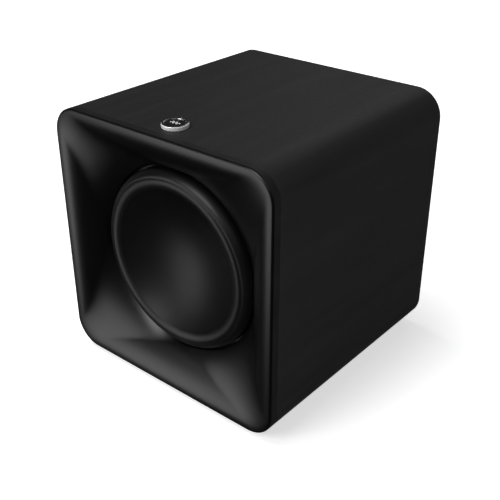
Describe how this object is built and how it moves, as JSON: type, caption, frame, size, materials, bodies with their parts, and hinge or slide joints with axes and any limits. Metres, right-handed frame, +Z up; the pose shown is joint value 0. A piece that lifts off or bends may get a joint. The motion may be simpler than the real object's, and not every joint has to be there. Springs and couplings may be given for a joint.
{
  "type": "subwoofer",
  "caption": "Cube-shaped powered subwoofer with a flared square-to-round front horn, a round woofer with a dish cone, a rear reflex port and a rear amplifier panel.",
  "frame": {"origin": "on the floor, under the middle of the box", "axes": "+Z up; the front faces -Y and the rear panel +Y; +X is to the right when seen from the front"},
  "size_m": [0.33, 0.33, 0.341],
  "materials": {
    "cabinet_vinyl": "satin",
    "bezel_plastic": "satin",
    "mdf": "matte",
    "back_vinyl": "matte",
    "black_plastic": "matte",
    "foot_rubber": "matte",
    "seal_foam": "matte",
    "surround_rubber": "satin",
    "dish_skin": "satin",
    "cone_paper": "matte",
    "former_foil": "satin",
    "copper": "satin",
    "spider_cloth": "matte",
    "black_steel": "satin",
    "zinc_steel": "satin",
    "screw_black": "satin",
    "ferrite": "matte",
    "tin_brass": "satin",
    "wire_pvc": "satin",
    "board_green": "satin",
    "core_ferrite": "matte",
    "can_sleeve": "gloss",
    "sink_aluminium": "satin",
    "shaft_aluminium": "satin",
    "pot_case": "satin",
    "jack_plating": "polished",
    "led_lens": "gloss",
    "badge_chrome": "polished",
    "badge_black": "gloss"
  },
  "bodies": {
    "cabinet": {"amp_cover": "black_steel", "amp_plate": "black_steel", "amp_screws": "screw_black", "amp_seal": "seal_foam", "badge_insert": "badge_black", "badge_ring": "badge_chrome", "basket": "black_steel", "bezel_screws": "zinc_steel", "cabinet_brace": "mdf", "cabinet_shell": "cabinet_vinyl", "capacitors": "can_sleeve", "control_board": "board_green", "control_board_posts": "zinc_steel", "control_pots": "pot_case", "driver_screws": "screw_black", "flange_gasket": "seal_foam", "foot_screws": "zinc_steel", "front_baffle": "mdf", "heat_sink": "sink_aluminium", "horn_bezel": "bezel_plastic", "inlet_blades": "tin_brass", "jack_contact": "tin_brass", "jack_insulator": "black_plastic", "line_in_jack": "jack_plating", "magnet": "ferrite", "mains_inlet": "black_plastic", "output_transistors": "can_sleeve", "pair_switch": "black_plastic", "phase_switch_body": "black_plastic", "port_tube": "black_plastic", "power_board": "board_green", "power_board_posts": "zinc_steel", "power_transformer": "core_ferrite", "rear_board": "back_vinyl", "rocker_housing": "black_plastic", "rubber_feet": "foot_rubber", "speaker_wires": "wire_pvc", "spider": "spider_cloth", "status_led": "led_lens", "surround": "surround_rubber", "terminal_strip": "black_plastic", "terminal_tabs": "tin_brass", "throat_gasket": "seal_foam", "tinsel_leads": "copper", "top_plate": "zinc_steel", "wire_grommet": "seal_foam", "wireless_module": "board_green", "yoke": "zinc_steel"},
    "cone": {"dish": "dish_skin", "cone_body": "cone_paper", "voice_coil_former": "former_foil", "voice_coil_winding": "copper"},
    "gain_control": {"gain_knob": "black_plastic", "gain_shaft": "shaft_aluminium"},
    "crossover_control": {"crossover_knob": "black_plastic", "crossover_shaft": "shaft_aluminium"},
    "phase_lever": {"phase_slider": "black_plastic"},
    "pair_plunger": {"pair_button": "black_plastic"},
    "rocker": {"power_rocker": "black_plastic"}
  },
  "joints": [
    {"name": "cone_travel", "type": "slide", "parent": "cabinet", "child": "cone", "axis": [0, -1, 0], "range_m": [-0.008, 0.008], "stiffness_N_per_m": 3500, "deforming": ["surround", "spider", "tinsel_leads"]},
    {"name": "gain_turn", "type": "hinge", "parent": "cabinet", "child": "gain_control", "pos_m": [0.078, 0.165, 0.173], "axis": [0, 1, 0], "range_deg": [-150, 150]},
    {"name": "crossover_turn", "type": "hinge", "parent": "cabinet", "child": "crossover_control", "pos_m": [0.038, 0.165, 0.173], "axis": [0, 1, 0], "range_deg": [-150, 150]},
    {"name": "phase_slide", "type": "slide", "parent": "cabinet", "child": "phase_lever", "axis": [1, 0, 0], "range_m": [0, 0.004]},
    {"name": "pair_press", "type": "slide", "parent": "cabinet", "child": "pair_plunger", "axis": [0, -1, 0], "range_m": [0, 0.0005], "stiffness_N_per_m": 1500},
    {"name": "rocker_tilt", "type": "hinge", "parent": "cabinet", "child": "rocker", "pos_m": [-0.018, 0.154, 0.068], "axis": [1, 0, 0], "range_deg": [-20, 0]}
  ]
}
